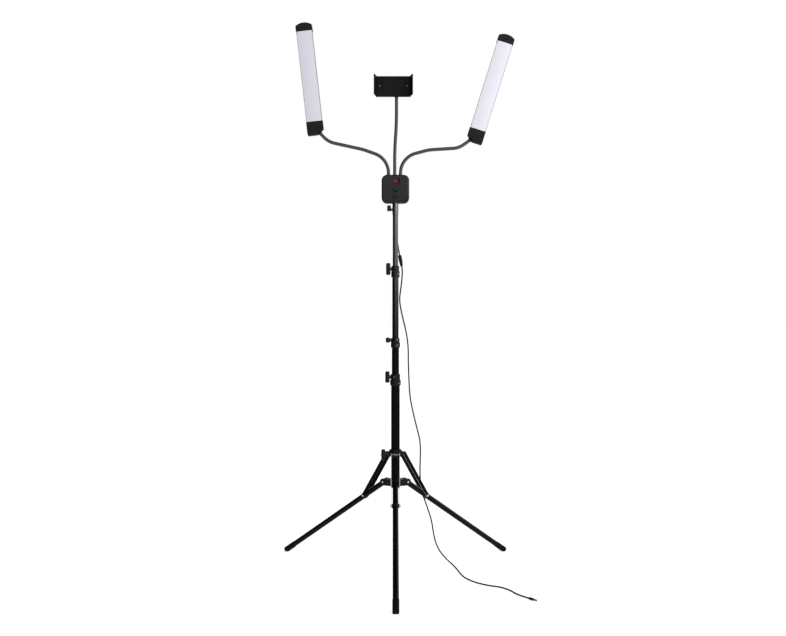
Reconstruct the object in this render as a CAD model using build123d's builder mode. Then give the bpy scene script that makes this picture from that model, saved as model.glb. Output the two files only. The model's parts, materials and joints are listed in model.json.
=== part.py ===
from build123d import *
from math import atan2, cos, degrees, hypot, pi, radians, sin, tan
import os

# Two-arm fill light with a phone holder on a reverse-folding tripod stand.
# Millimetres, +Z up, origin on the floor under the column, front towards -Y.

# Column tubes: outer diameter, wall, lower end, upper end
BASE_TUBE = (25.0, 1.5, 240.0, 545.0)
SECOND_TUBE = (20.8, 0.85, 355.0, 655.0)
THIRD_TUBE = (18.4, 0.85, 562.0, 862.0)
TOP_TUBE = (16.0, 1.0, 762.0, 1051.7)
SLIDE_GAP = 0.35
SEAT_GAP = 0.03

# Clamp collars: lower end, step, upper end, lower diameter, upper diameter, knob height, knob turn
BASE_CLAMP = (532.0, 547.0, 565.0, 31.0, 27.0, 556.0, 25.0)
SECOND_CLAMP = (641.0, 656.0, 669.0, 26.5, 24.0, 663.0, 90.0)
THIRD_CLAMP = (845.0, 862.0, 878.0, 24.6, 22.0, 869.0, 0.0)
CLAMP_SPLIT = 2.0
CLAMP_EARS = (8.0, 8.5, 3.0)
CLAMP_BEVEL = 1.0
KNOB_AZIMUTH = 180.0
BOSS_WIDTH = 11.0
BOSS_REACH = 2.0
KNOB_BAR = (35.0, 12.0, 13.0)
KNOB_HUB_WIDTH = 15.5
KNOB_STEM_RADIUS = 2.5
KNOB_COLLAR_RADIUS = 4.6
KNOB_COLLAR_LENGTH = 0.8
KNOB_EDGE = 2.0
RUN_GAP = 0.1
FACE_GAP = 0.4

# Tripod linkage, in each leg's own upright plane: distance from the column axis, and height
LEG_AZIMUTHS = {"front": 270.0, "left": 150.0, "right": 30.0}
HUB_PIVOT = (36.0, 250.2)
COLLAR_PIVOT = (23.9, 334.5)
LEG_SLOPE = 34.6
STRUT_SEAT = 81.4
LEG_DIAMETER = 16.0
LEG_WALL = 1.2
LEG_TAIL = 6.0
LEG_END = 414.7
FOOT_START = 394.7
FOOT_END = 434.7
FOOT_RADIUS = 8.8
FOOT_BEVEL = 1.5
PIN_RADIUS = 2.5
RIVET_RADIUS = 4.2
RIVET_HEAD = 1.2
RIVET_TAPER = 20.0
RIVET_SLACK = 0.3
EAR_INNER = 8.5
EAR_OUTER = 11.0
EAR_RADIUS = 10.0
HUB_RADIUS = 14.5
HUB_TOP = 262.0
HUB_FLOOR = 3.0
HUB_ROOT = 25.0
HUB_BEVELS = (3.0, 1.0)
SADDLE_LENGTH = 11.0
SADDLE_RADIUS = 9.6
SADDLE_CHEEK = 5.5
SADDLE_BEVEL = 0.8
BAR_INNER = 11.4
BAR_THICKNESS = 1.5
BAR_WIDTH = 10.0
COLLAR_RADIUS = 17.0
COLLAR_LOW = 326.0
COLLAR_HIGH = 347.0
COLLAR_BEVEL = 1.2
LUG_RADIUS = 6.3
LUG_ROOT = 18.5
LOCK_AZIMUTH = 205.0
LOCK_HEIGHT = 333.0
LOCK_BOSS_END = 21.0
LOCK_BAR_START = 33.0
LOCK_BAR = (33.0, 12.0, 11.0)

# Control box
BOX_SIDE = 80.0
BOX_CORNER = 16.0
BOX_BOTTOM = 1060.0
BOX_FRONT = 17.0
BOX_BACK = 21.0
BOX_WALL = 2.2
BOX_EDGE = 5.0
BOX_PARTING = 0.4
SOCKET_LOW = 1026.0
SOCKET_STOP = 1052.0
SOCKET_RADIUS = 8.9
SOCKET_GAP = 0.2
SOCKET_FLANGE = (10.2, 2.0)
SOCKET_BEVEL = 0.4
SCREW_HEIGHT = 1041.0
SCREW_BOSS_END = 11.0
SCREW_BOSS_RADIUS = 4.5
SCREW_COLLAR_RADIUS = 3.4
SCREW_STEM_RADIUS = 2.0
SCREW_LEVER = (13.0, 11.0, 9.0, 8.0)
SCREW_EDGE = 1.5
SWITCH_CENTRE = (4.0, 1121.7)
ROCKER_SIZE = (18.2, 13.1)
ROCKER_TILT = 6.0
ROCKER_PIVOT_DEPTH = 16.2
ROCKER_ENDS = 4.0
ROCKER_DISH = 2.6
ROCKER_BACK = 3.0
ROCKER_PIN = (1.0, 1.0)
BEZEL_OPENING = (19.4, 13.9)
BEZEL_WALL = 0.8
BEZEL_LIP = 1.2
BEZEL_BORDER = 2.1
BEZEL_CORNER = 1.5
BEZEL_EDGE = 0.6
DIALS = {"upper_dial": (1099.0, 8.0), "lower_dial": (1079.5, 7.5)}
DIAL_HEIGHT = 7.5
DIAL_TAPER = 4.0
DIAL_EDGE = 1.0
DIAL_SKIRT = 2.0
DIAL_FLUTES = (14, 0.3, 0.8)
# Pointer groove: width, length and middle as shares of the radius, depth
DIAL_POINTER = (1.0, 0.6, 0.55, 0.6)
DIAL_SHAFT_RADIUS = 3.0
BOARD = (58.0, 62.0, 1.6)
BOARD_CORNER = 3.0
BOARD_DEPTH = 6.0
POST_SPACING = (48.0, 52.0)
POST_RADIUS = 3.0
DIAL_SEAT = (16.0, 1.5, 17.0)

# Bendable necks, in the plane of the column: route corners and corner radii
NECK_RADIUS = 5.0
FERRULE = (6.4, 3.5)
FERRULE_TAPER = 8.0
LAMP_WIDTH = 46.0
LAMP_DEPTH = 24.0
LAMP_WALL = 1.2
LAMP_BACK_RADIUS = 8.0
BOTTOM_CAP = 37.0
DIFFUSER_LENGTH = 262.0
TOP_CAP_SHOULDER = 17.0
TOP_CAP = 25.0
CAP_LIP = 1.0
# Cut inner corner of a bottom cap: across, up, and how far the neck sits below the middle of the cut
CAP_CHAMFER = (20.0, 15.0, 4.0)
CAP_CORNER = 5.0
CAP_EDGE = 1.6
NECK_SOCKET = (6.6, 4.0)
DIFFUSER_GAP = 0.1
DIFFUSER_EDGE = 3.0
DIFFUSER_CROWN = 1.5
LED_BOARD = (28.0, 250.0, 1.6)
# Lamp: bottom middle x and z, lean to the right in degrees, side of the inner corner
LAMPS = {"left": (-230.0, 1258.0, -6.4, 1), "right": (227.0, 1236.0, 17.4, -1)}
# Neck: where it leaves the box, height of its first corner, second corner, last run to the lamp, corner radii
ARMS = {
    "left": (-20.0, 1188.8, (-93.5, 1215.3), 32.8, (59.0, 122.0, 61.5)),
    "right": (15.0, 1192.3, (96.2, 1214.2), 37.8, (58.5, 123.0, 59.0)),
}
MIDDLE_NECK = ((-2.0, 1215.0), (3.2, 1290.0))
MIDDLE_NECK_BEND = 1000.0

# Phone holder
HOLDER_LEFT = -56.5
HOLDER_RIGHT = 44.5
HOLDER_LOW = 1369.0
HOLDER_HEIGHT = 58.0
HOLDER_FRONT = -4.0
HOLDER_BACK = 6.0
JAW_BASE = 3.1
JAW_GAP = 0.2
FLANGE_REACH = 25.0
FLANGE_FLARE = 6.1
FLANGE_THICKNESS = 3.0
FLANGE_ROOT = 1.0
LIP_ROUND = 1.2
TONGUE_LENGTH = 62.0
TONGUE_HEIGHT = 50.0
TONGUE_THICKNESS = 4.2
TONGUE_GAP = 0.5
CAVITY_LENGTH = 93.0
HOLDER_BOSS = (5.6, 3.0)
SPRING = (2.1, 0.7)
SPRING_SPACING = 20.0

# Cord, its gland and its connectors
CORD_RADIUS = 2.1
ARC_SHARE = 0.45
GLAND_PLACE = (4.5, 14.8)
GLAND_RADII = (4.2, 3.0)
GLAND_LENGTH = 12.0
LEAD_ROUTE = [(4.5, 14.8, 1048), (4.5, 14.8, 1006), (3.8, 22.3, 956), (12.3, 25, 911)]
# The supply cord leaves the inline plug straight for its first run and goes on through these points
SUPPLY_FIRST_RUN = 24.0
SUPPLY_ROUTE = [
    (18, 31, 816), (14, 31.5, 780), (19.5, 33.5, 735), (31.5, 37.5, 689), (38, 41, 645),
    (38, 43.5, 597), (40, 45.5, 547), (42.5, 47, 497), (51.5, 52.5, 451), (63, 59.5, 404),
    (74.5, 67, 360), (74.5, 68.5, 312), (72.5, 68, 263), (77, 69.5, 215), (93, 72, 169),
    (108, 74, 125), (113.5, 75.5, 84), (122, 75, 50), (138, 71, 24), (157, 58, 7),
    (171, 27, 2.1), (178, -13, 2.1), (184, -56, 2.1), (195, -101, 2.1), (221, -141, 2.1),
    (253, -167, 2.1), (283, -179, 2.1), (304, -205, 2.1), (317, -239, 2.1), (330, -262, 3.5),
    (344, -278, 3.5),
]
INLINE_SOCKET = (5.5, 20.0)
INLINE_PLUG = (4.8, 3.2, 15.0)
INLINE_EDGE = 1.5
BARREL_PLUG = (3.5, 16.0)
BARREL_EDGE = 0.6
BARREL = (2.75, 9.5)

os.makedirs("parts", exist_ok=True)


def keep(piece, name):
    """Label a finished piece and write its file."""
    piece.part.label = name
    export_step(piece.part, f"parts/{name}.step")


def upright(azimuth, offset=0.0):
    """Upright plane through the column axis: x outwards, y up, normal along the pivot axes."""
    angle = radians(azimuth)
    plane = Plane((0, 0, 0), x_dir=(cos(angle), sin(angle), 0), z_dir=(sin(angle), -cos(angle), 0))
    return plane.offset(offset)


def along_leg(azimuth, distance):
    """Plane square to a leg's axis, at a distance from the hub pivot, normal towards the foot."""
    home = upright(azimuth)
    slope = radians(LEG_SLOPE)
    out = HUB_PIVOT[0] + distance * cos(slope)
    height = HUB_PIVOT[1] - distance * sin(slope)
    tip = home.from_local_coords(Vector(out + cos(slope), height - sin(slope), 0))
    origin = home.from_local_coords(Vector(out, height, 0))
    return Plane(origin, x_dir=home.z_dir, z_dir=tip - origin)


def outward(azimuth, height, distance=0.0):
    """Plane facing away from the column, at a height and a distance from its axis."""
    angle = radians(azimuth)
    direction = Vector(cos(angle), sin(angle), 0)
    return Plane(direction * distance + Vector(0, 0, height), x_dir=(0, 0, 1), z_dir=direction)


def rod(plane, radius, length, mode=Mode.ADD):
    """Round bar standing on a plane, inside the current part."""
    with BuildSketch(plane) as section:
        Circle(radius)
    extrude(section.sketch, amount=length, mode=mode)


def tube_piece(name, size):
    diameter, wall, low, high = size
    with BuildPart() as tube:
        with BuildSketch(Plane.XY.offset(low)):
            Circle(diameter / 2)
            Circle(diameter / 2 - wall, mode=Mode.SUBTRACT)
        extrude(amount=high - low)
    keep(tube, name)


def clamp_piece(name, size, tube, inner):
    """Split collar: seats on the end of one tube, closes on the next, boss for its knob at -X."""
    low, step, high, low_width, high_width, knob_height, _ = size
    boss_end = high_width / 2 + BOSS_REACH
    ear_width, ear_depth, ear_drop = CLAMP_EARS
    with BuildPart() as clamp:
        rod(Plane.XY.offset(low), low_width / 2, step - low)
        rod(Plane.XY.offset(step), high_width / 2, high - step)
        rims = clamp.edges().filter_by(GeomType.CIRCLE).sort_by(Axis.Z)
        chamfer([rims[0], rims[-1], rims[-2]], length=CLAMP_BEVEL)
        rod(outward(KNOB_AZIMUTH, knob_height), BOSS_WIDTH / 2, boss_end)
        with BuildSketch(Plane.XY.offset(step)):
            with Locations((0, high_width / 2)):
                Rectangle(ear_width, ear_depth)
        extrude(amount=high - step - ear_drop)
        rod(Plane.XY.offset(low), tube[0] / 2 + SEAT_GAP, tube[3] - low, Mode.SUBTRACT)
        rod(Plane.XY.offset(tube[3]), inner[0] / 2 + SLIDE_GAP, high - tube[3], Mode.SUBTRACT)
        rod(outward(KNOB_AZIMUTH, knob_height), KNOB_STEM_RADIUS + RUN_GAP, boss_end, Mode.SUBTRACT)
        with BuildSketch(Plane.XY.offset(step)):
            with Locations((0, high_width / 2)):
                Rectangle(CLAMP_SPLIT, high_width)
        extrude(amount=high - step, mode=Mode.SUBTRACT)
    keep(clamp, name)


def bar_knob(name, screw, tube, collar_start, bar_start, bar, turn=0.0):
    """Bar knob on a screw that points at a tube; the screw's plane faces outwards from the column axis."""
    length, width, thickness = bar
    stem_start = tube[0] / 2 + 2 * FACE_GAP
    with BuildPart() as knob:
        with BuildSketch(screw.offset(bar_start)):
            SlotOverall(length, width, rotation=turn)
            Circle(KNOB_HUB_WIDTH / 2)
        extrude(amount=thickness)
        fillet(knob.faces().sort_by(Axis(screw.origin, screw.z_dir))[-1].edges(), radius=KNOB_EDGE)
        rod(screw.offset(collar_start), KNOB_COLLAR_RADIUS, bar_start - collar_start)
        rod(screw.offset(stem_start), KNOB_STEM_RADIUS, collar_start - stem_start)
    keep(knob, name)


def clamp_knob_piece(name, size, inner):
    """Knob of a clamp, at -X."""
    high_width, height, turn = size[4:7]
    collar_start = high_width / 2 + BOSS_REACH + FACE_GAP
    bar_start = collar_start + KNOB_COLLAR_LENGTH
    bar_knob(name, outward(KNOB_AZIMUTH, height), inner, collar_start, bar_start, KNOB_BAR, turn)


def hub_piece():
    """Cup under the base tube with three clevises for the legs."""
    floor = BASE_TUBE[2] - HUB_FLOOR
    with BuildPart() as hub:
        rod(Plane.XY.offset(floor), HUB_RADIUS, HUB_TOP - floor)
        chamfer(hub.edges().sort_by(Axis.Z)[0], length=HUB_BEVELS[0])
        chamfer(hub.edges().sort_by(Axis.Z)[-1], length=HUB_BEVELS[1])
        for azimuth in LEG_AZIMUTHS.values():
            with BuildSketch(upright(azimuth)):
                with Locations(HUB_PIVOT):
                    Circle(EAR_RADIUS)
                    Rectangle(HUB_PIVOT[0], 2 * EAR_RADIUS, align=(Align.MAX, Align.CENTER))
            extrude(amount=EAR_OUTER, both=True)
        for azimuth in LEG_AZIMUTHS.values():
            with BuildSketch(upright(azimuth)):
                with Locations((HUB_ROOT, HUB_PIVOT[1])):
                    Rectangle(2 * HUB_PIVOT[0], 4 * EAR_RADIUS, align=(Align.MIN, Align.CENTER))
            extrude(amount=EAR_INNER, both=True, mode=Mode.SUBTRACT)
            with BuildSketch(upright(azimuth)):
                with Locations(HUB_PIVOT):
                    Circle(PIN_RADIUS + SEAT_GAP)
            extrude(amount=EAR_OUTER, both=True, mode=Mode.SUBTRACT)
        rod(Plane.XY.offset(BASE_TUBE[2]), BASE_TUBE[0] / 2 + SEAT_GAP, HUB_TOP, Mode.SUBTRACT)
    keep(hub, "lower_hub")


def pins_piece(name, pivot, half_length):
    """Three riveted pivot pins, one across each leg's plane."""
    with BuildPart() as pins:
        for azimuth in LEG_AZIMUTHS.values():
            with BuildSketch(upright(azimuth)):
                with Locations(pivot):
                    Circle(PIN_RADIUS)
            extrude(amount=half_length, both=True)
            for side in (1, -1):
                with BuildSketch(upright(azimuth, side * half_length)):
                    with Locations(pivot):
                        Circle(RIVET_RADIUS)
                extrude(amount=side * RIVET_HEAD, taper=RIVET_TAPER)
    keep(pins, name)


def leg_pieces(name, azimuth):
    with BuildPart() as tube:
        with BuildSketch(along_leg(azimuth, -LEG_TAIL)):
            Circle(LEG_DIAMETER / 2)
            Circle(LEG_DIAMETER / 2 - LEG_WALL, mode=Mode.SUBTRACT)
        extrude(amount=LEG_TAIL + LEG_END)
        with BuildSketch(upright(azimuth)):
            with Locations(HUB_PIVOT):
                Circle(PIN_RADIUS + RUN_GAP)
        extrude(amount=LEG_DIAMETER, both=True, mode=Mode.SUBTRACT)
    keep(tube, f"leg_{name}_tube")

    with BuildPart() as saddle:
        rod(along_leg(azimuth, STRUT_SEAT - SADDLE_LENGTH / 2), SADDLE_RADIUS, SADDLE_LENGTH)
        chamfer(saddle.edges().filter_by(GeomType.CIRCLE), length=SADDLE_BEVEL)
        with BuildSketch(upright(azimuth)):
            with Locations(strut_foot()):
                Circle(SADDLE_CHEEK)
        extrude(amount=EAR_OUTER, both=True)
        bore_start = along_leg(azimuth, STRUT_SEAT - SADDLE_LENGTH)
        rod(bore_start, LEG_DIAMETER / 2 + SEAT_GAP, 2 * SADDLE_LENGTH, Mode.SUBTRACT)
    keep(saddle, f"leg_{name}_saddle")

    with BuildPart() as foot:
        rod(along_leg(azimuth, FOOT_START), FOOT_RADIUS, FOOT_END - FOOT_START)
        chamfer(foot.edges().filter_by(GeomType.CIRCLE).sort_by(Axis.Z)[0], length=FOOT_BEVEL)
        rod(along_leg(azimuth, FOOT_START), LEG_DIAMETER / 2 + SEAT_GAP, LEG_END - FOOT_START, Mode.SUBTRACT)
        split(bisect_by=Plane.XY, keep=Keep.TOP)
    keep(foot, f"leg_{name}_foot")


def strut_foot():
    """Where the struts meet a leg, in the leg's upright plane."""
    slope = radians(LEG_SLOPE)
    return (HUB_PIVOT[0] + STRUT_SEAT * cos(slope), HUB_PIVOT[1] - STRUT_SEAT * sin(slope))


def strut_piece(name, azimuth):
    """Pair of flat bars either side of a collar lug and a leg, with a rivet head at the leg end of each."""
    foot = strut_foot()
    run = (foot[0] - COLLAR_PIVOT[0], foot[1] - COLLAR_PIVOT[1])
    middle = ((foot[0] + COLLAR_PIVOT[0]) / 2, (foot[1] + COLLAR_PIVOT[1]) / 2)
    with BuildPart() as strut:
        for side in (1, -1):
            with BuildSketch(upright(azimuth, side * BAR_INNER)):
                with Locations(middle):
                    SlotCenterToCenter(hypot(*run), BAR_WIDTH, rotation=degrees(atan2(run[1], run[0])))
                with Locations(COLLAR_PIVOT):
                    Circle(PIN_RADIUS + RUN_GAP, mode=Mode.SUBTRACT)
            extrude(amount=side * BAR_THICKNESS)
            with BuildSketch(upright(azimuth, side * (BAR_INNER + BAR_THICKNESS))):
                with Locations(foot):
                    Circle(RIVET_RADIUS)
            extrude(amount=side * RIVET_HEAD, taper=RIVET_TAPER)
    keep(strut, f"strut_{name}")


def slider_piece():
    """Sliding collar with three forked lugs for the struts and a boss for its lock knob."""
    with BuildPart() as collar:
        rod(Plane.XY.offset(COLLAR_LOW), COLLAR_RADIUS, COLLAR_HIGH - COLLAR_LOW)
        chamfer(collar.edges().filter_by(GeomType.CIRCLE), length=COLLAR_BEVEL)
        for azimuth in LEG_AZIMUTHS.values():
            with BuildSketch(upright(azimuth)):
                with Locations(COLLAR_PIVOT):
                    Circle(LUG_RADIUS)
                    Rectangle(COLLAR_PIVOT[0], 2 * LUG_RADIUS, align=(Align.MAX, Align.CENTER))
            extrude(amount=EAR_OUTER, both=True)
            with BuildSketch(upright(azimuth)):
                with Locations((LUG_ROOT, COLLAR_PIVOT[1])):
                    Rectangle(COLLAR_PIVOT[0], 4 * LUG_RADIUS, align=(Align.MIN, Align.CENTER))
            extrude(amount=EAR_INNER, both=True, mode=Mode.SUBTRACT)
            with BuildSketch(upright(azimuth)):
                with Locations(COLLAR_PIVOT):
                    Circle(PIN_RADIUS + SEAT_GAP)
            extrude(amount=EAR_OUTER, both=True, mode=Mode.SUBTRACT)
        rod(outward(LOCK_AZIMUTH, LOCK_HEIGHT), BOSS_WIDTH / 2, LOCK_BOSS_END)
        rod(outward(LOCK_AZIMUTH, LOCK_HEIGHT), KNOB_STEM_RADIUS + RUN_GAP, LOCK_BOSS_END, Mode.SUBTRACT)
        bore = BASE_TUBE[0] / 2 + FACE_GAP
        rod(Plane.XY.offset(COLLAR_LOW), bore, COLLAR_HIGH - COLLAR_LOW, Mode.SUBTRACT)
    keep(collar, "slider_collar")


def box_pieces():
    """Control box: front and rear shells that meet in the plane of the necks."""
    centre = BOX_BOTTOM + BOX_SIDE / 2
    inner_side = BOX_SIDE - 2 * BOX_WALL
    switch_hole = [side + 2 * BEZEL_WALL + RUN_GAP for side in BEZEL_OPENING]
    front_plane = Plane((0, 0, centre), x_dir=(1, 0, 0), z_dir=(0, -1, 0))
    rear_plane = Plane((0, 0, centre), x_dir=(-1, 0, 0), z_dir=(0, 1, 0))

    with BuildPart() as front:
        with BuildSketch(front_plane):
            RectangleRounded(BOX_SIDE, BOX_SIDE, BOX_CORNER)
        extrude(amount=BOX_FRONT)
        fillet(front.faces().sort_by(Axis.Y)[0].edges(), radius=BOX_EDGE)
        chamfer(front.faces().sort_by(Axis.Y)[-1].edges(), length=BOX_PARTING)
        with BuildSketch(front_plane):
            RectangleRounded(inner_side, inner_side, BOX_CORNER - BOX_WALL)
        extrude(amount=BOX_FRONT - BOX_WALL, mode=Mode.SUBTRACT)
        with BuildSketch(front_plane):
            with Locations((SWITCH_CENTRE[0], SWITCH_CENTRE[1] - centre)):
                Rectangle(*switch_hole)
            for height, _ in DIALS.values():
                with Locations((0, height - centre)):
                    Circle(DIAL_SHAFT_RADIUS + SLIDE_GAP)
        extrude(amount=BOX_FRONT, mode=Mode.SUBTRACT)
    keep(front, "box_front")

    with BuildPart() as rear:
        with BuildSketch(rear_plane):
            RectangleRounded(BOX_SIDE, BOX_SIDE, BOX_CORNER)
        extrude(amount=BOX_BACK)
        fillet(rear.faces().sort_by(Axis.Y)[-1].edges(), radius=BOX_EDGE)
        chamfer(rear.faces().sort_by(Axis.Y)[0].edges(), length=BOX_PARTING)
        with BuildSketch(rear_plane):
            RectangleRounded(inner_side, inner_side, BOX_CORNER - BOX_WALL)
        extrude(amount=BOX_BACK - BOX_WALL, mode=Mode.SUBTRACT)
        with BuildSketch(rear_plane.offset(BOARD_DEPTH + BOARD[2])):
            with GridLocations(*POST_SPACING, 2, 2):
                Circle(POST_RADIUS)
        extrude(amount=BOX_BACK - BOX_WALL - BOARD_DEPTH - BOARD[2])
    keep(rear, "box_rear")

    with BuildPart() as board:
        with BuildSketch(rear_plane.offset(BOARD_DEPTH)):
            RectangleRounded(BOARD[0], BOARD[1], BOARD_CORNER)
        extrude(amount=BOARD[2])
        seat_side, seat_corner, seat_depth = DIAL_SEAT
        with BuildSketch(rear_plane.offset(BOARD_DEPTH)):
            for height, _ in DIALS.values():
                with Locations((0, height - centre)):
                    RectangleRounded(seat_side, seat_side, seat_corner)
                    Circle(DIAL_SHAFT_RADIUS + RUN_GAP, mode=Mode.SUBTRACT)
        extrude(amount=-seat_depth)
    keep(board, "circuit_board")


def switch_pieces():
    """Rocker in its bezel, on the front of the box. The rocker turns on an upright axis."""
    x, z = SWITCH_CENTRE
    width, height = BEZEL_OPENING
    pin_radius, pin_reach = ROCKER_PIN
    face = Plane((x, -BOX_FRONT, z), x_dir=(1, 0, 0), z_dir=(0, -1, 0))
    with BuildPart() as bezel:
        with BuildSketch(face):
            RectangleRounded(width + 2 * BEZEL_BORDER, height + 2 * BEZEL_BORDER, BEZEL_CORNER)
        extrude(amount=BEZEL_LIP)
        fillet(bezel.faces().sort_by(Axis.Y)[0].outer_wire().edges(), radius=BEZEL_EDGE)
        with BuildSketch(face):
            Rectangle(width + 2 * BEZEL_WALL, height + 2 * BEZEL_WALL)
        extrude(amount=-BOX_FRONT / 2)
        with BuildSketch(face.offset(BEZEL_LIP)):
            Rectangle(width, height)
        extrude(amount=-BOX_FRONT, mode=Mode.SUBTRACT)
        with BuildSketch(Plane((x, -ROCKER_PIVOT_DEPTH, z))) as pin_holes:
            Circle(pin_radius + RUN_GAP)
        extrude(pin_holes.sketch, amount=height / 2 + BEZEL_WALL, both=True, mode=Mode.SUBTRACT)
    keep(bezel, "switch_bezel")

    tilt = radians(ROCKER_TILT)
    long, tall = ROCKER_SIZE
    along = (cos(tilt), -sin(tilt), 0)
    pivot = Plane((x, -ROCKER_PIVOT_DEPTH, z), x_dir=along, z_dir=(0, 0, 1))
    with BuildPart() as rocker:
        with BuildSketch(pivot):
            with BuildLine():
                left_end, right_end = (-long / 2, -ROCKER_ENDS), (long / 2, -ROCKER_ENDS)
                Polyline(left_end, (-long / 2, ROCKER_BACK), (long / 2, ROCKER_BACK), right_end)
                ThreePointArc(right_end, (0, -ROCKER_DISH), left_end)
            make_face()
        extrude(amount=tall / 2, both=True)
        with BuildSketch(pivot) as pin:
            Circle(pin_radius)
        extrude(pin.sketch, amount=tall / 2 + pin_reach, both=True)
    keep(rocker, "rocker")


def dial_piece(name, height, radius):
    """Fluted knob with a pointer groove, on a shaft through the front of the box."""
    face = Plane((0, -BOX_FRONT - FACE_GAP, height), x_dir=(1, 0, 0), z_dir=(0, -1, 0))
    flutes, flute_out, flute_radius = DIAL_FLUTES
    groove_width, groove_share, middle_share, groove_depth = DIAL_POINTER
    with BuildPart() as dial:
        with BuildSketch(face):
            Circle(radius)
        extrude(amount=DIAL_HEIGHT, taper=DIAL_TAPER)
        fillet(dial.faces().sort_by(Axis.Y)[0].edges(), radius=DIAL_EDGE)
        with BuildSketch(face.offset(DIAL_SKIRT)):
            with PolarLocations(radius + flute_out, flutes):
                Circle(flute_radius)
        extrude(amount=DIAL_HEIGHT, mode=Mode.SUBTRACT)
        with BuildSketch(face.offset(DIAL_HEIGHT)):
            with Locations((0, radius * middle_share)):
                Rectangle(groove_width, radius * groove_share)
        extrude(amount=-groove_depth, mode=Mode.SUBTRACT)
        rod(face, DIAL_SHAFT_RADIUS, -BOX_FRONT / 2)
    keep(dial, name)


def socket_pieces():
    """Sleeve under the box that takes the top tube, with its lever screw."""
    with BuildPart() as socket:
        rod(Plane.XY.offset(SOCKET_LOW), SOCKET_RADIUS, BOX_BOTTOM - SOCKET_LOW)
        chamfer(socket.edges().sort_by(Axis.Z)[0], length=SOCKET_BEVEL)
        rod(Plane.XY.offset(BOX_BOTTOM - SOCKET_FLANGE[1]), SOCKET_FLANGE[0], SOCKET_FLANGE[1])
        rod(outward(KNOB_AZIMUTH, SCREW_HEIGHT), SCREW_BOSS_RADIUS, SCREW_BOSS_END)
        bore = TOP_TUBE[0] / 2 + SOCKET_GAP
        rod(Plane.XY.offset(SOCKET_LOW), bore, SOCKET_STOP - SOCKET_LOW, Mode.SUBTRACT)
        rod(outward(KNOB_AZIMUTH, SCREW_HEIGHT), SCREW_STEM_RADIUS + RUN_GAP, SCREW_BOSS_END, Mode.SUBTRACT)
    keep(socket, "tube_socket")

    start, thickness, width, reach = SCREW_LEVER
    lever = Plane((-start, 0, SCREW_HEIGHT), x_dir=(0, 0, 1), z_dir=(-1, 0, 0))
    collar_start = SCREW_BOSS_END + FACE_GAP
    stem_start = TOP_TUBE[0] / 2 + 2 * FACE_GAP
    with BuildPart() as screw:
        with BuildSketch(lever):
            with Locations((reach / 2, 0)):
                SlotCenterToCenter(reach, width)
        extrude(amount=thickness)
        fillet(screw.faces().sort_by(Axis.X)[0].edges(), radius=SCREW_EDGE)
        rod(outward(KNOB_AZIMUTH, SCREW_HEIGHT, collar_start), SCREW_COLLAR_RADIUS, start - collar_start)
        rod(outward(KNOB_AZIMUTH, SCREW_HEIGHT, stem_start), SCREW_STEM_RADIUS, collar_start - stem_start)
    keep(screw, "socket_screw")


def lamp_plane(side):
    """Plane of a lamp's face: origin at the middle of its lower end, y up the lamp, normal to the front."""
    x, z, lean, _ = LAMPS[side]
    angle = radians(lean)
    return Plane((x, 0, z), x_dir=(cos(angle), 0, -sin(angle)), z_dir=(0, -1, 0))


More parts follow.
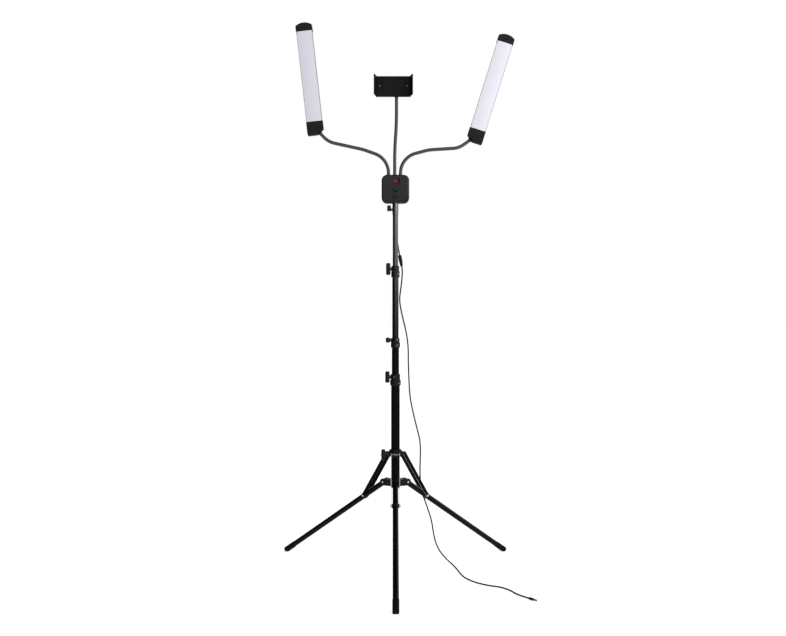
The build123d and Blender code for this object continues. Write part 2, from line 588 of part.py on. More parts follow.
def lamp_pieces(side):
    face = lamp_plane(side)
    inner = LAMPS[side][3]
    back = face.offset(-LAMP_DEPTH / 2)
    half = LAMP_WIDTH / 2
    cap_half = half + CAP_LIP
    cap_depth = LAMP_DEPTH + 2 * CAP_LIP
    cap_back = face.offset(-cap_depth / 2)
    tray_top = BOTTOM_CAP + DIFFUSER_LENGTH
    tray = Plane(face.from_local_coords(Vector(0, BOTTOM_CAP, 0)), x_dir=face.x_dir, z_dir=face.y_dir)

    with BuildPart() as housing:
        with BuildSketch(tray) as section:
            Rectangle(LAMP_WIDTH, LAMP_DEPTH)
            fillet(section.vertices().sort_by(Axis.Y)[-2:], radius=LAMP_BACK_RADIUS)
            offset(amount=-LAMP_WALL, mode=Mode.SUBTRACT)
            with Locations((0, -LAMP_DEPTH / 2)):
                Rectangle(LAMP_WIDTH - 2 * LAMP_WALL, 4 * LAMP_WALL, mode=Mode.SUBTRACT)
        extrude(amount=DIFFUSER_LENGTH)
    keep(housing, f"lamp_{side}_housing")

    edge = half - LAMP_WALL - DIFFUSER_GAP
    front = -LAMP_DEPTH / 2
    inside = front + DIFFUSER_EDGE
    with BuildPart() as diffuser:
        with BuildSketch(tray):
            with BuildLine():
                Polyline((-edge, front), (-edge, inside), (edge, inside), (edge, front))
                ThreePointArc((edge, front), (0, front - DIFFUSER_CROWN), (-edge, front))
            make_face()
        extrude(amount=DIFFUSER_LENGTH)
    keep(diffuser, f"lamp_{side}_diffuser")

    with BuildPart() as board:
        with BuildSketch(back.offset(LAMP_WALL)):
            with Locations((0, BOTTOM_CAP + DIFFUSER_LENGTH / 2)):
                Rectangle(LED_BOARD[0], LED_BOARD[1])
        extrude(amount=LED_BOARD[2])
    keep(board, f"lamp_{side}_led_board")

    with BuildPart() as top:
        with BuildSketch(cap_back) as outline:
            with BuildLine():
                shoulder = tray_top + TOP_CAP_SHOULDER
                left, right = (-cap_half, shoulder), (cap_half, shoulder)
                Polyline(right, (cap_half, tray_top), (-cap_half, tray_top), left)
                ThreePointArc(left, (0, tray_top + TOP_CAP), right)
            make_face()
            fillet(outline.vertices().sort_by(Axis.Y)[-2:], radius=CAP_CORNER)
        extrude(amount=cap_depth)
        fillet(top.edges().group_by(Axis.Y)[0] + top.edges().group_by(Axis.Y)[-1], radius=CAP_EDGE)
    keep(top, f"lamp_{side}_top_cap")

    with BuildPart() as bottom:
        with BuildSketch(cap_back) as outline:
            with BuildLine():
                Polyline(
                    (-inner * cap_half, BOTTOM_CAP),
                    (inner * cap_half, BOTTOM_CAP),
                    (inner * cap_half, CAP_CHAMFER[1]),
                    (inner * (cap_half - CAP_CHAMFER[0]), 0),
                    (-inner * cap_half, 0),
                    close=True,
                )
            make_face()
            fillet(outline.vertices().sort_by(Axis.Y)[:3], radius=CAP_CORNER / 2)
        extrude(amount=cap_depth)
        fillet(bottom.edges().group_by(Axis.Y)[0] + bottom.edges().group_by(Axis.Y)[-1], radius=CAP_EDGE)
        rod(neck_end_plane(side, NECK_SOCKET[1]), NECK_SOCKET[0], -2 * NECK_SOCKET[1])
    keep(bottom, f"lamp_{side}_bottom_cap")


def neck_end_plane(side, clear=0.0):
    """Plane parallel to a lamp's cut corner, a little below its middle, facing out of the lamp."""
    face = lamp_plane(side)
    inner = LAMPS[side][3]
    across, up, drop = CAP_CHAMFER
    share = (hypot(across, up) / 2 - drop) / hypot(across, up)
    low_end = inner * (LAMP_WIDTH / 2 + CAP_LIP - across)
    seat = face.from_local_coords(Vector(low_end + inner * across * share, up * share, 0))
    normal = (face.x_dir * inner * up - face.y_dir * across).normalized()
    return Plane(seat + normal * clear, x_dir=(0, -1, 0), z_dir=normal)


def neck_piece(name, route, radii):
    """Round bendable arm along straight runs and tangent arcs."""
    with BuildPart() as neck:
        with BuildLine() as path:
            FilletPolyline(*route, radius=radii)
        with BuildSketch(Plane(route[0], x_dir=(1, 0, 0), z_dir=(0, 0, 1))):
            Circle(NECK_RADIUS)
        sweep(path=path.line)
    keep(neck, name)


def necks():
    box_top = BOX_BOTTOM + BOX_SIDE
    for side, (x, corner, middle, last_run, radii) in ARMS.items():
        end = neck_end_plane(side, NECK_SOCKET[1])
        bend = end.origin + end.z_dir * last_run
        rise = [(x, 0, box_top), (x, 0, corner), (middle[0], 0, middle[1])]
        neck_piece(f"{side}_neck", [*rise, bend, end.origin], radii)
    low, high = MIDDLE_NECK
    top = HOLDER_LOW - HOLDER_BOSS[1]
    route = [(low[0], 0, box_top), (low[0], 0, low[1]), (high[0], 0, high[1]), (high[0], 0, top)]
    neck_piece("middle_neck", route, (MIDDLE_NECK_BEND, MIDDLE_NECK_BEND))
    with BuildPart() as ferrules:
        for x in (ARMS["left"][0], low[0], ARMS["right"][0]):
            with BuildSketch(Plane.XY.offset(box_top)):
                with Locations((x, 0)):
                    Circle(FERRULE[0])
            extrude(amount=FERRULE[1], taper=FERRULE_TAPER)
            with BuildSketch(Plane.XY.offset(box_top)):
                with Locations((x, 0)):
                    Circle(NECK_RADIUS + SEAT_GAP)
            extrude(amount=FERRULE[1], mode=Mode.SUBTRACT)
    keep(ferrules, "neck_ferrules")


def flange_points(edge, side):
    """Outline of one flared side, from the back of the plate to its front lip and back again."""
    outer_tip = edge + side * FLANGE_FLARE
    inner_tip = outer_tip - side * FLANGE_THICKNESS
    lip = HOLDER_FRONT - FLANGE_REACH
    base = edge - side * JAW_BASE
    root = HOLDER_FRONT + FLANGE_ROOT
    return [(edge, HOLDER_BACK), (edge, root), (outer_tip, lip), (inner_tip, lip), (base, HOLDER_FRONT)]


def holder_pieces():
    """Phone holder: hollow plate with a fixed side, and a sprung jaw whose tongue slides in the plate."""
    seat = HOLDER_RIGHT - JAW_BASE - JAW_GAP
    middle = HOLDER_LOW + HOLDER_HEIGHT / 2
    depth = (HOLDER_FRONT + HOLDER_BACK) / 2
    floor = Plane.XY.offset(HOLDER_LOW)
    with BuildPart() as plate:
        with BuildSketch(floor):
            with BuildLine():
                fixed_side = flange_points(HOLDER_LEFT, -1)
                Polyline((seat, HOLDER_BACK), *fixed_side, (seat, HOLDER_FRONT), close=True)
            make_face()
        extrude(amount=HOLDER_HEIGHT)
        lips = plate.edges().filter_by(Axis.Z).group_by(Axis.Y)[0]
        fillet(lips, radius=LIP_ROUND)
        with Locations((seat, depth, middle)):
            cavity_height = TONGUE_HEIGHT + 2 * TONGUE_GAP
            cavity_depth = TONGUE_THICKNESS + 2 * TONGUE_GAP
            at_right = (Align.MAX, Align.CENTER, Align.CENTER)
            Box(CAVITY_LENGTH, cavity_depth, cavity_height, align=at_right, mode=Mode.SUBTRACT)
        boss_plane = Plane((MIDDLE_NECK[1][0], 0, HOLDER_LOW), z_dir=(0, 0, -1))
        rod(boss_plane, HOLDER_BOSS[0], HOLDER_BOSS[1])
    keep(plate, "holder_plate")

    with BuildPart() as jaw:
        with BuildSketch(floor):
            with BuildLine():
                Polyline(*flange_points(HOLDER_RIGHT, 1), (HOLDER_RIGHT - JAW_BASE, HOLDER_BACK), close=True)
            make_face()
        extrude(amount=HOLDER_HEIGHT)
        lips = jaw.edges().filter_by(Axis.Z).group_by(Axis.Y)[0]
        fillet(lips, radius=LIP_ROUND)
        with Locations((HOLDER_RIGHT - JAW_BASE, depth, middle)):
            at_right = (Align.MAX, Align.CENTER, Align.CENTER)
            Box(TONGUE_LENGTH, TONGUE_THICKNESS, TONGUE_HEIGHT, align=at_right)
    keep(jaw, "holder_jaw")

    spring_start = seat - CAVITY_LENGTH
    spring_end = HOLDER_RIGHT - JAW_BASE - TONGUE_LENGTH
    with BuildPart() as springs:
        with BuildSketch(Plane((spring_start, depth, middle), x_dir=(0, 0, 1), z_dir=(1, 0, 0))):
            with GridLocations(SPRING_SPACING, 1, 2, 1):
                Circle(SPRING[0])
                Circle(SPRING[0] - SPRING[1], mode=Mode.SUBTRACT)
        extrude(amount=spring_end - spring_start)
    keep(springs, "holder_springs")


def corner_radii(route):
    """Largest arcs that fit each corner of a cord's route."""
    points = [Vector(*point) for point in route]
    radii = []
    for before, corner, after in zip(points, points[1:], points[2:]):
        run_in, run_out = corner - before, after - corner
        half_turn = radians(run_in.get_angle(run_out)) / 2
        radii.append(ARC_SHARE * min(run_in.length, run_out.length) / tan(half_turn))
    return radii


def cord_piece(name, route):
    """Round cord along its route, with its arcs and its volume printed."""
    radii = corner_radii(route)
    start = Vector(*route[0])
    with BuildPart() as cord:
        with BuildLine() as path:
            FilletPolyline(*route, radius=radii)
        with BuildSketch(Plane(start, z_dir=Vector(*route[1]) - start)):
            Circle(CORD_RADIUS)
        sweep(path=path.line)
    length = path.wire().length
    section = pi * CORD_RADIUS ** 2
    print(name, "length", round(length, 1), "radii", [round(radius) for radius in radii])
    print(name, "volume", round(cord.part.volume, 1), "section by length", round(section * length, 1))
    keep(cord, name)


def end_plane(route):
    """Plane at the far end of a route, facing onwards."""
    end = Vector(*route[-1])
    return Plane(end, z_dir=end - Vector(*route[-2]))


def cord_pieces():
    """Lead from the gland to an inline connector, and the supply cord from there to its barrel plug."""
    x, y = GLAND_PLACE
    with BuildPart() as gland:
        with BuildSketch(Plane((x, y, BOX_BOTTOM), z_dir=(0, 0, -1))):
            Circle(GLAND_RADII[0])
        with BuildSketch(Plane((x, y, BOX_BOTTOM - GLAND_LENGTH), z_dir=(0, 0, -1))):
            Circle(GLAND_RADII[1])
        loft()
    keep(gland, "cord_gland")

    cord_piece("lead_cord", LEAD_ROUTE)
    joint = end_plane(LEAD_ROUTE)
    with BuildPart() as socket:
        rod(joint, INLINE_SOCKET[0], INLINE_SOCKET[1])
        fillet(socket.edges().filter_by(GeomType.CIRCLE).sort_by(Axis.Z)[-1], radius=INLINE_EDGE)
    keep(socket, "inline_socket")

    with BuildPart() as plug:
        with BuildSketch(joint.offset(INLINE_SOCKET[1])):
            Circle(INLINE_PLUG[0])
        with BuildSketch(joint.offset(INLINE_SOCKET[1] + INLINE_PLUG[2])):
            Circle(INLINE_PLUG[1])
        loft()
    keep(plug, "inline_plug")

    leave = joint.offset(INLINE_SOCKET[1] + INLINE_PLUG[2])
    straight_out = [tuple(leave.origin), tuple(leave.offset(SUPPLY_FIRST_RUN).origin)]
    cord_piece("supply_cord", straight_out + SUPPLY_ROUTE)

    end = end_plane(SUPPLY_ROUTE)
    with BuildPart() as barrel_plug:
        rod(end, BARREL_PLUG[0], BARREL_PLUG[1])
        fillet(barrel_plug.edges().filter_by(GeomType.CIRCLE), radius=BARREL_EDGE)
        rod(end.offset(BARREL_PLUG[1]), BARREL[0], BARREL[1])
    keep(barrel_plug, "supply_plug")


tube_piece("base_tube", BASE_TUBE)
tube_piece("second_tube", SECOND_TUBE)
tube_piece("third_tube", THIRD_TUBE)
tube_piece("top_tube", TOP_TUBE)
clamp_piece("base_clamp", BASE_CLAMP, BASE_TUBE, SECOND_TUBE)
clamp_piece("second_clamp", SECOND_CLAMP, SECOND_TUBE, THIRD_TUBE)
clamp_piece("third_clamp", THIRD_CLAMP, THIRD_TUBE, TOP_TUBE)
clamp_knob_piece("base_knob", BASE_CLAMP, SECOND_TUBE)
clamp_knob_piece("second_knob", SECOND_CLAMP, THIRD_TUBE)
clamp_knob_piece("third_knob", THIRD_CLAMP, TOP_TUBE)
hub_piece()
pins_piece("hub_pivot_pins", HUB_PIVOT, EAR_OUTER)
for leg_name, leg_azimuth in LEG_AZIMUTHS.items():
    leg_pieces(leg_name, leg_azimuth)
    strut_piece(leg_name, leg_azimuth)
slider_piece()
pins_piece("collar_pivot_pins", COLLAR_PIVOT, BAR_INNER + BAR_THICKNESS + RIVET_SLACK)
lock_screw = outward(LOCK_AZIMUTH, LOCK_HEIGHT)
bar_knob("collar_knob", lock_screw, BASE_TUBE, LOCK_BOSS_END + FACE_GAP, LOCK_BAR_START, LOCK_BAR)
box_pieces()
switch_pieces()
for dial_name, (dial_height, dial_radius) in DIALS.items():
    dial_piece(dial_name, dial_height, dial_radius)
socket_pieces()
for lamp_side in LAMPS:
    lamp_pieces(lamp_side)
necks()
holder_pieces()
cord_pieces()
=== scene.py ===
import json
from math import ceil, cos, hypot, pi, radians, sin, sqrt, tan

import bmesh
import bpy
from mathutils import Matrix, Vector

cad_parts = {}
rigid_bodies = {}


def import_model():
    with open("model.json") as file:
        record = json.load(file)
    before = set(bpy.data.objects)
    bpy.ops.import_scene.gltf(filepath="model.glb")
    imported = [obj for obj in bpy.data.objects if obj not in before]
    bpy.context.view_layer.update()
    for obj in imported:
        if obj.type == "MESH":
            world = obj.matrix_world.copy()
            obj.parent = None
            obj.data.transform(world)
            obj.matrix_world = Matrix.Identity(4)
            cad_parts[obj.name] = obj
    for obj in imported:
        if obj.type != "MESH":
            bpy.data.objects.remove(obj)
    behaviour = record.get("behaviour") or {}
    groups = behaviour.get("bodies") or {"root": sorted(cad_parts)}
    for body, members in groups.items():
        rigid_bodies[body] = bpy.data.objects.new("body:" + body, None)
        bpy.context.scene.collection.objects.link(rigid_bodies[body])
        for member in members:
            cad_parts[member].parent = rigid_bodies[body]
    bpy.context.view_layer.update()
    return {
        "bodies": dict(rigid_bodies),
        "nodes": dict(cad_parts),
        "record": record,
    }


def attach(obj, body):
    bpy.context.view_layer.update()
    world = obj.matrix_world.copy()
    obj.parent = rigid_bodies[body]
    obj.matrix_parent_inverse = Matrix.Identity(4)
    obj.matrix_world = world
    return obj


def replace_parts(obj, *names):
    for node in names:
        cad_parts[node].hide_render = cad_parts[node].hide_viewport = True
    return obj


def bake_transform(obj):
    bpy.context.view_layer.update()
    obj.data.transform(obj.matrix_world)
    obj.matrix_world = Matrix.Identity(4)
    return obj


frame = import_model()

# Looks of a two-arm fill light with a phone holder on a folding tripod stand.
# Metres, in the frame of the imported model: +Z up, front towards -Y.

NODES = frame["nodes"]
UP = Vector((0, 0, 1))
RIGHT = Vector((1, 0, 0))
BACK = Vector((0, 1, 0))

# Camera: the photograph's width in pixels, its focal length and the place it was taken from
PHOTO_WIDTH = 786
FOCAL_PIXELS = 879.75
SENSOR_WIDTH = 36.0
CAMERA_PLACE = (-0.007, -2.55, 0.727)

# Studio: half the floor's side and its glow, then the light of the surroundings: a wide key on the right
# of the front, a panel behind, and what a shiny surface sees of the floor. Each has its strength and the
# ramps of direction, towards its side or upwards, over which it comes in.
FLOOR_REACH = 60.0
FLOOR_GLOW = 0.76
KEY_SIDE, KEY_SPREAD = (0.90, -0.44, 0.0), (-0.08, 0.15)
KEY_RISE, KEY_FALL = (-0.03, 0.09), (0.9, 0.5)
KEY_LIGHT = 1.0
BACK_SIDE, BACK_SPREAD = (0.0, 1.0, 0.0), (0.65, 0.85)
BACK_LIGHT = 0.8
FLOOR_SPREAD = (-0.2, -0.4)
FLOOR_MIRRORED = 0.5
FILL_LIGHT = 0.04
BACKGROUND_LIGHT = 1.0
FRONT_SUN = {"place": (0.5, -2.2, 1.7), "aim": (0, 0, 0), "power": 0.1, "angle": radians(50)}
RIGHT_SOFTBOX = {"place": (0.95, -0.75, 1.5), "aim": (0.25, 0, 1.4), "power": 5.5, "size": 0.6}
PAPER_TONES = ((0.88, 0.88, 0.88), (0.91, 0.91, 0.91))
PAPER_ROUGHNESS = (0.85, 0.95)
WHITE = (1, 1, 1, 1)

# Turned pieces: points round a head and round a larger body, and steps up a dome
HEAD_SIDES = 24
BODY_SIDES = 32
DOME_STEPS = 5
# Heads, as shares of their size: straight edge or bevel of the height, tip of the radius, and the key's
# recess in a screw, of the radius and of the height
HEAD_EDGE = 1 / 4
HEAD_TIP = 1 / 12
KEY_RECESS = (1 / 2, 1 / 2)
# Angle in degrees from which an edge is drawn sharp, on most pieces and on a neck's winding
SHARP_ANGLE = 40.0
NECK_SHARP_ANGLE = 80.0

# Tripod linkage: distance from the column axis and height of each pivot, as in the model
LEG_AZIMUTHS = {"front": 270.0, "left": 150.0, "right": 30.0}
HUB_PIVOT = (0.036, 0.2502)
COLLAR_PIVOT = (0.0239, 0.3345)
LEG_SLOPE = 34.6
STRUT_SEAT = 0.0814
# Plug in a leg's upper end: distance from the hub pivot, size of its head and its share inside the tube
LEG_TAIL = 0.006
LEG_PLUG = (0.0067, 0.0016)
PLUG_SUNK = 1 / 2
# How far each rivet's seat is from its leg's plane, and the size of its head
RIVET_FACES = {"hub": 0.0120, "collar": 0.0132, "strut": 0.0139}
RIVET = (0.0027, 0.0009)
COLLAR_RIVET = (0.0045, 0.0021)

# Clamps: body, step, upper end and upper radius, then azimuth, height and seat radius of each rivet
CLAMPS = {
    "base": ("stand_base", 0.547, 0.565, 0.0135, [(312.0, 0.5385, 0.0155), (251.0, 0.5563, 0.0135)]),
    "second": ("second_section", 0.656, 0.669, 0.0120, [(293.0, 0.6480, 0.01325), (299.0, 0.6638, 0.0120)]),
    "third": ("third_section", 0.862, 0.878, 0.0110, [(312.0, 0.8530, 0.0123)]),
}
# Ears at the back of a clamp: half width, drop below its upper end, and the bolt's reach, radius and height
EAR_HALF_WIDTH = 0.004
EAR_DROP = 0.003
EAR_BOLT = (0.0019, 0.0032, 0.0022)
# Rivet head, and the share of its height that is inside the clamp
CLAMP_RIVET = (0.0021, 0.0009)
RIVET_SUNK = 1 / 3

# Bar knobs: azimuth, height, start of the collar, start of the bar, turn of the bar and its size
CLAMP_BAR = (0.035, 0.012, 0.013)
KNOBS = {
    "base_knob": (180.0, 0.556, 0.0159, 0.0167, 25.0, CLAMP_BAR),
    "second_knob": (180.0, 0.663, 0.0144, 0.0152, 90.0, CLAMP_BAR),
    "third_knob": (180.0, 0.869, 0.0134, 0.0142, 0.0, CLAMP_BAR),
    "collar_knob": (205.0, 0.333, 0.0214, 0.0330, 0.0, (0.033, 0.012, 0.011)),
}
# Round middle of a bar, radius of its edges, its points and steps, then its collar and stem
KNOB_HUB_RADIUS = 0.00775
KNOB_ROUND = 0.0044
KNOB_SIDES = 72
KNOB_ROUND_STEPS = 6
KNOB_COLLAR_RADIUS = 0.0052
KNOB_STEM = (0.0025, 0.003)

# Screws: places on the rear of the box, on the lamp caps and on the phone holder, and the size of each head
BOX_CENTRE = (0.0, 1.100)
BOX_REAR = 0.021
BOX_SCREW_SPACING = (0.048, 0.052)
BOX_SCREW = (0.0030, 0.0014)
CAP_SCREW_SPACING = 0.030
CAP_SCREW_HEIGHTS = (0.024, 0.306)
CAP_BACK = 0.013
CAP_SCREW = (0.0022, 0.0010)
HOLDER_SCREWS = ((-0.046, 1.399), (0.034, 1.399))
HOLDER_FACE = -0.004
HOLDER_SCREW = (0.0018, 0.0007)

# Rocker: its pivot, its lean at rest, the radius of its dished face and how far the dish is from the pivot.
# On and off marks, whose pink tone also paints the highlight in the rocker's middle: distance from the
# middle, half height, width of line and how far they stand proud
ROCKER_PIVOT = (0.004, -0.0162, 1.1217)
ROCKER_LEAN = 6.0
ROCKER_FACE = (0.0303, 0.0026)
ROCKER_MARKS = (0.0042, 0.0019, 0.0008, 0.00012)
MARK_STEPS = 36

# Lamps: lower middle x and z, lean to the right in degrees, side of the inner corner
LAMPS = {"left": (-0.230, 1.258, -6.4, 1), "right": (0.227, 1.236, 17.4, -1)}
CAP_HALF_WIDTH = 0.024
# Cut corner of a bottom cap: across, up, and how far the neck sits below the middle of the cut, and how far
# the neck's end is from its seat there
CAP_CHAMFER = (0.020, 0.015, 0.004)
NECK_SOCKET = 0.004

# Necks: where each leaves the box, height of its first corner, second corner, last run, corner radii
ARMS = {
    "left": (-0.020, 1.1888, (-0.0935, 1.2153), 0.0328, (0.059, 0.122, 0.0615)),
    "right": (0.015, 1.1923, (0.0962, 1.2142), 0.0378, (0.0585, 0.123, 0.059)),
}
BOX_TOP = 1.140
# Middle neck: its two corners, its upper end and the radius of its corners
MIDDLE_NECK = ((-0.002, 1.215), (0.0032, 1.290))
MIDDLE_NECK_TOP = 1.366
MIDDLE_NECK_BEND = 1.0
# Sleeve: radius, pitch and half depth of its winding, its points, and the stretch that the box holds still
NECK_RADIUS = 0.005
NECK_RIB = (0.0024, 0.00012)
NECK_SIDES = 20
RINGS_PER_RIB = 6

# Cord: its radius, points round it, steps from one control point to the next, then its routes, which are
# the model's, moved by up to 7 mm near the column
CORD_RADIUS = 0.0021
CORD_SIDES = 12
CORD_STEPS = 10
LEAD_ROUTE = [
    (0.0045, 0.0148, 1.048), (0.0045, 0.0150, 1.034), (0.0045, 0.0220, 1.004), (0.0038, 0.0223, 0.956),
    (0.0123, 0.025, 0.911),
]
SUPPLY_FIRST_RUN = 0.014
SUPPLY_ROUTE = [
    (0.0165, 0.031, 0.816), (0.011, 0.0315, 0.780), (0.0195, 0.0335, 0.735), (0.0315, 0.0375, 0.689),
    (0.038, 0.041, 0.645), (0.038, 0.0435, 0.597), (0.040, 0.0455, 0.547), (0.0425, 0.047, 0.497),
    (0.0515, 0.0525, 0.451), (0.063, 0.0595, 0.404), (0.0745, 0.067, 0.360), (0.0745, 0.0685, 0.312),
    (0.0725, 0.068, 0.263), (0.077, 0.0695, 0.215), (0.093, 0.072, 0.169), (0.108, 0.074, 0.125),
    (0.1135, 0.0755, 0.084), (0.122, 0.075, 0.050), (0.138, 0.071, 0.024), (0.157, 0.058, 0.007),
    (0.171, 0.027, 0.0021), (0.178, -0.013, 0.0021), (0.184, -0.056, 0.0021), (0.195, -0.101, 0.0021),
    (0.221, -0.141, 0.0021), (0.253, -0.167, 0.0021), (0.283, -0.179, 0.0021), (0.304, -0.205, 0.0021),
    (0.317, -0.239, 0.0021), (0.330, -0.262, 0.0035), (0.344, -0.278, 0.0035),
]
# Heights between which the hanging cord passes from one column section to the next below, and the share of
# each such stretch over which the passage starts and ends softly
CORD_HOLDS = [("third_section", 0.86, 0.62), ("second_section", 0.62, 0.32), ("stand_base", 0.32, 0.06)]
HOLD_ROUNDING = 0.15

# Bodies moulded on the cord: radius, length, nose, then first groove, count, pitch and depth of its grip
INLINE_SOCKET = (0.0055, 0.020, 0.0034, (0.0060, 4, 0.0028, 0.0006))
INLINE_PLUG = (0.0048, 0.015, 0.0006, (0.0058, 4, 0.0022, 0.0006))
INLINE_PLUG_TAPER = 0.0005
BARREL_BODY = (0.0035, 0.016, 0.0014, (0.0030, 5, 0.0020, 0.0004))
GLAND_BOOT = (0.0042, 0.012, 0.0012, (0.0026, 4, 0.0022, 0.0005))
GLAND_TAPER = 0.0003
MOULDED_EDGE = 0.0005
# Noses, as shares of the radius and of the nose's length, and where in its pitch a groove has reached its
# floor, leaves it and is back at the land
ROUND_NOSE = ((0.6, 0), (0.85, 1 / 3), (1, 1))
SQUARE_NOSE = ((1, 0), (1, 1))
GROOVE = (1 / 6, 1 / 2, 2 / 3)
# Barrel of the supply plug: radius, length and radius of its bore, then shares: its edge of the radius, the
# height of the bore's floor, and the middle of that floor
BARREL_TIP = (0.00275, 0.0095, 0.0013)
BARREL_EDGE = 1 / 8
BORE_FLOOR = 2 / 3
BORE_MIDDLE = 1 / 3

# Looks: where most of a noise lies, how much bluer than neutral the greys are, and the stretch of rub marks
NOISE_SPAN = (0.3, 0.7)
COOL_GREY = 1.04
EVENLY = (1, 1, 1)
ALONG_COLUMN = (1, 1, 0.04)
ALONG_LAMP = (1, 1, 0.03)
UPRIGHT = (1, 1, 0.2)
CROSSWISE = (0.2, 1, 1)
CLOUDS = (1, 1, 0.35)
# Struts whose narrow edges carry a painted highlight in a pale steel tone, on the side the light comes
# from:
# how squarely the surface faces sideways where the highlight starts to fade and where it ends, tone and
# metal from highlit edge to painted flat, and the roughness of both
HIGHLIT_STRUTS = ("front", "right")
EDGE_HIGHLIGHT_SPAN = (0.4, 0.7)
EDGE_HIGHLIGHT_TONES = (0.75, 0.003)
EDGE_HIGHLIGHT_METAL = (0.3, 0.0)
BAR_ROUGHNESS = (0.3, 0.42)
# Legs whose strut rivets are blackened
DARK_STRUT_RIVETS = ("front",)
BOX_TONES = ((0.004, 0.0034, 0.0054), (0.005, 0.0044, 0.0068))
ROCKER_TONES = ((0.06, 0.0005, 0.004), (0.085, 0.001, 0.006))
# Pink of the on and off marks, which also stands for the highlight in the rocker's middle: print and
# painted highlight
MARK_AND_HIGHLIGHT_TONES = ((0.27, 0.09, 0.12), (0.33, 0.12, 0.15))
BOARD_TONES = ((0.01, 0.07, 0.03), (0.02, 0.11, 0.05))
DIFFUSER_TONES = ((0.665, 0.66, 0.735), (0.705, 0.70, 0.775))


class Look:
    """A procedural material: its shader and the textures that feed it, in the piece's own coordinates."""

    def __init__(self, name, **sockets):
        self.material = bpy.data.materials.new(name)
        self.material.use_nodes = True
        self.tree = self.material.node_tree
        self.shader = self.tree.nodes["Principled BSDF"]
        for socket, value in sockets.items():
            self.shader.inputs[socket.replace("_", " ")].default_value = value

    def node(self, kind, inputs=(), **settings):
        """Add a node to the material."""
        return add_node(self.tree, kind, inputs, **settings)

    def feed(self, socket, source):
        """Link a texture to the shader."""
        self.tree.links.new(source, self.shader.inputs[socket])

    def noise(self, scale, detail, stretch=EVENLY):
        """Noise whose marks are drawn out along the axes with a small stretch."""
        coordinates = self.node("ShaderNodeTexCoord").outputs["Object"]
        place = self.node("ShaderNodeMapping", {"Vector": coordinates, "Scale": stretch}).outputs["Vector"]
        inputs = {"Scale": scale, "Detail": detail, "Vector": place}
        return self.node("ShaderNodeTexNoise", inputs).outputs["Fac"]

    def between(self, factor, limits, span=NOISE_SPAN):
        """Number from one limit to the other as the factor goes over its span."""
        inputs = {"Value": factor, "From Min": span[0], "From Max": span[1]}
        inputs |= {"To Min": limits[0], "To Max": limits[1]}
        return self.node("ShaderNodeMapRange", inputs).outputs["Result"]

    def tint(self, factor, tones, span=NOISE_SPAN):
        """Colour from one tone to the other as the factor goes over its span."""
        ramp = self.node("ShaderNodeValToRGB", {"Fac": factor})
        for stop, place, color in zip(ramp.color_ramp.elements, span, tones):
            stop.position = place
            stop.color = (*color, 1)
        return ramp.outputs["Color"]

    def relief(self, height, depth, strength):
        """Bump the surface by a texture, up to a depth in metres."""
        inputs = {"Height": height, "Distance": depth, "Strength": strength}
        self.feed("Normal", self.node("ShaderNodeBump", inputs).outputs["Normal"])

    def orange_peel(self):
        """Fine waviness of sprayed paint."""
        self.relief(self.noise(scale=900, detail=2), depth=8e-6, strength=0.5)


def add_node(tree, kind, inputs=(), **settings):
    """Add a shader node, with its settings, and its sockets set or linked."""
    made = tree.nodes.new(kind)
    for name, value in settings.items():
        setattr(made, name, value)
    for socket, value in dict(inputs).items():
        if isinstance(value, bpy.types.NodeSocket):
            tree.links.new(value, made.inputs[socket])
        else:
            made.inputs[socket].default_value = value
    return made


def painted(name, tones, roughness, streak, specular):
    """Satin black paint on tube: faint orange peel, and rub marks drawn out along one direction."""
    look = Look(name, Specular_IOR_Level=specular)
    look.feed("Base Color", look.tint(look.noise(scale=18, detail=4), tones))
    look.feed("Roughness", look.between(look.noise(scale=90, detail=5, stretch=streak), roughness))
    look.orange_peel()
    return look.material


def edge_highlight_bar(name, azimuth):
    """Black paint on the flats of a leg's bars, and a pale steel tone on their narrow edges as a painted
    highlight.
    """
    look = Look(name, Specular_IOR_Level=0.15)
    normal = look.node("ShaderNodeTexCoord").outputs["Normal"]
    across = (sin(radians(azimuth)), -cos(radians(azimuth)), 0)
    facing = look.node("ShaderNodeVectorMath", {0: normal, 1: across}, operation="DOT_PRODUCT")
    flat = look.node("ShaderNodeMath", {0: facing.outputs["Value"]}, operation="ABSOLUTE").outputs["Value"]
    look.feed("Base Color", look.tint(flat, greys(*EDGE_HIGHLIGHT_TONES), EDGE_HIGHLIGHT_SPAN))
    look.feed("Metallic", look.between(flat, EDGE_HIGHLIGHT_METAL, EDGE_HIGHLIGHT_SPAN))
    look.feed("Roughness", look.between(look.noise(scale=90, detail=5), BAR_ROUGHNESS))
    look.orange_peel()
    return look.material


def moulded(name, tones, roughness, grain, depth, specular):
    """Moulded plastic or rubber with a fine spark-eroded grain and slightly uneven colour."""
    look = Look(name, Specular_IOR_Level=specular)
    look.feed("Base Color", look.tint(look.noise(scale=30, detail=4), tones))
    look.feed("Roughness", look.between(look.noise(scale=120, detail=4), roughness))
    look.relief(look.noise(scale=grain, detail=2), depth, strength=0.6)
    return look.material


def metal(name, tones, roughness, streak, metallic=1.0):
    """Brushed metal with fine lines along one direction, or a dull plating on it."""
    look = Look(name, Metallic=metallic)
    lines = look.noise(scale=400, detail=4, stretch=streak)
    look.feed("Base Color", look.tint(lines, tones))
    look.feed("Roughness", look.between(lines, roughness))
    look.relief(lines, depth=20e-6, strength=0.4)
    return look.material


def glossy(name, tones, roughness, coat):
    """Polished plastic with a clear skin and faint handling marks."""
    look = Look(name, Specular_IOR_Level=0.25, Coat_Weight=coat, Coat_Roughness=0.08)
    look.feed("Base Color", look.tint(look.noise(scale=60, detail=3), tones))
    look.feed("Roughness", look.between(look.noise(scale=250, detail=5), roughness))
    look.relief(look.noise(scale=500, detail=2), depth=10e-6, strength=0.4)
    return look.material


